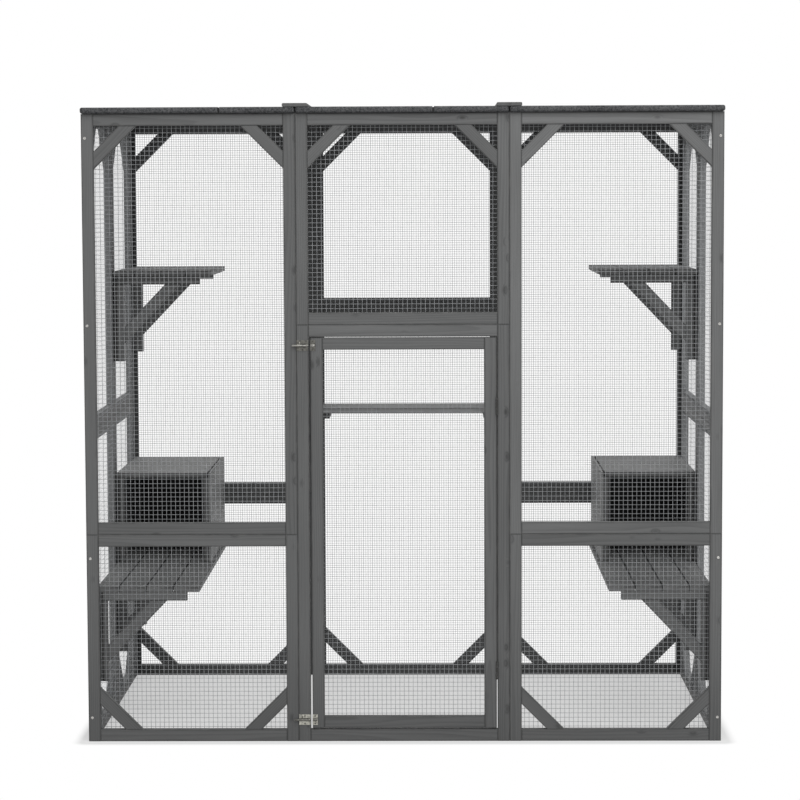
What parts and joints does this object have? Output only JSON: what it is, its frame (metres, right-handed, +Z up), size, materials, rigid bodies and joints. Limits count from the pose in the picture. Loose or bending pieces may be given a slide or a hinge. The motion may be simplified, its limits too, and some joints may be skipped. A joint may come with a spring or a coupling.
{
  "type": "outdoor cat enclosure",
  "caption": "Walk-in outdoor cat enclosure: mesh-backed timber panels, a hinged door with slide bolts, raised shelves, dens, a bridge plank and a flat felted roof.",
  "frame": {"origin": "on the ground, at the middle of the footprint", "axes": "+X to the right seen from the door side, +Y from the door side to the back, +Z up"},
  "size_m": [1.803, 1.066, 1.8075],
  "materials": {
    "stained_wood": "grey wood stain over planed softwood, with grain and knots showing through",
    "roofing_felt": "bitumen felt with slate-grey mineral granules",
    "galvanised_wire": "hot-dip galvanised welded wire",
    "zinc_plate": "pale zinc plating",
    "dark_steel": "dark grey painted steel"
  },
  "bodies": {
    "enclosure": {"back_centre_lower_frame": "stained_wood", "back_centre_mesh": "galvanised_wire", "back_centre_upper_frame": "stained_wood", "back_left_lower_frame": "stained_wood", "back_left_mesh": "galvanised_wire", "back_left_upper_frame": "stained_wood", "back_right_lower_frame": "stained_wood", "back_right_mesh": "galvanised_wire", "back_right_upper_frame": "stained_wood", "bridge_cleats": "stained_wood", "bridge_plank": "stained_wood", "corner_screws": "zinc_plate", "frame_hardware_screws": "zinc_plate", "front_centre_mesh": "galvanised_wire", "front_centre_upper_frame": "stained_wood", "front_door_surround": "stained_wood", "front_left_lower_frame": "stained_wood", "front_left_mesh": "galvanised_wire", "front_left_upper_frame": "stained_wood", "front_right_lower_frame": "stained_wood", "front_right_mesh": "galvanised_wire", "front_right_upper_frame": "stained_wood", "hinge_pins": "dark_steel", "hinge_post_leaves": "dark_steel", "latch_bodies": "zinc_plate", "left_den": "stained_wood", "left_front_lower_frame": "stained_wood", "left_front_upper_frame": "stained_wood", "left_platform_brackets": "stained_wood", "left_platform_deck": "stained_wood", "left_rear_lower_frame": "stained_wood", "left_rear_upper_frame": "stained_wood", "left_shelf_brackets": "stained_wood", "left_shelf_deck": "stained_wood", "left_side_mesh": "galvanised_wire", "right_den": "stained_wood", "right_front_lower_frame": "stained_wood", "right_front_upper_frame": "stained_wood", "right_platform_brackets": "stained_wood", "right_platform_deck": "stained_wood", "right_rear_lower_frame": "stained_wood", "right_rear_upper_frame": "stained_wood", "right_shelf_brackets": "stained_wood", "right_shelf_deck": "stained_wood", "right_side_mesh": "galvanised_wire", "roof_caps": "stained_wood", "roof_centre_board": "stained_wood", "roof_centre_felt": "roofing_felt", "roof_left_board": "stained_wood", "roof_left_felt": "roofing_felt", "roof_right_board": "stained_wood", "roof_right_felt": "roofing_felt"},
    "door": {"door_frame": "stained_wood", "door_mesh": "galvanised_wire", "hinge_door_leaves": "dark_steel", "latch_keepers": "zinc_plate", "door_hardware_screws": "zinc_plate"},
    "top_bolt": {"top_bolt": "zinc_plate"},
    "bottom_bolt": {"bottom_bolt": "zinc_plate"}
  },
  "joints": [
    {"name": "door_hinge", "type": "hinge", "parent": "enclosure", "child": "door", "pos_m": [0.264, -0.524, 0.5805], "axis": [0, 0, 1], "range_deg": [0, 170]},
    {"name": "top_bolt_slide", "type": "slide", "parent": "enclosure", "child": "top_bolt", "axis": [1, 0, 0], "range_m": [0, 0.015]},
    {"name": "bottom_bolt_slide", "type": "slide", "parent": "enclosure", "child": "bottom_bolt", "axis": [1, 0, 0], "range_m": [0, 0.015]}
  ]
}
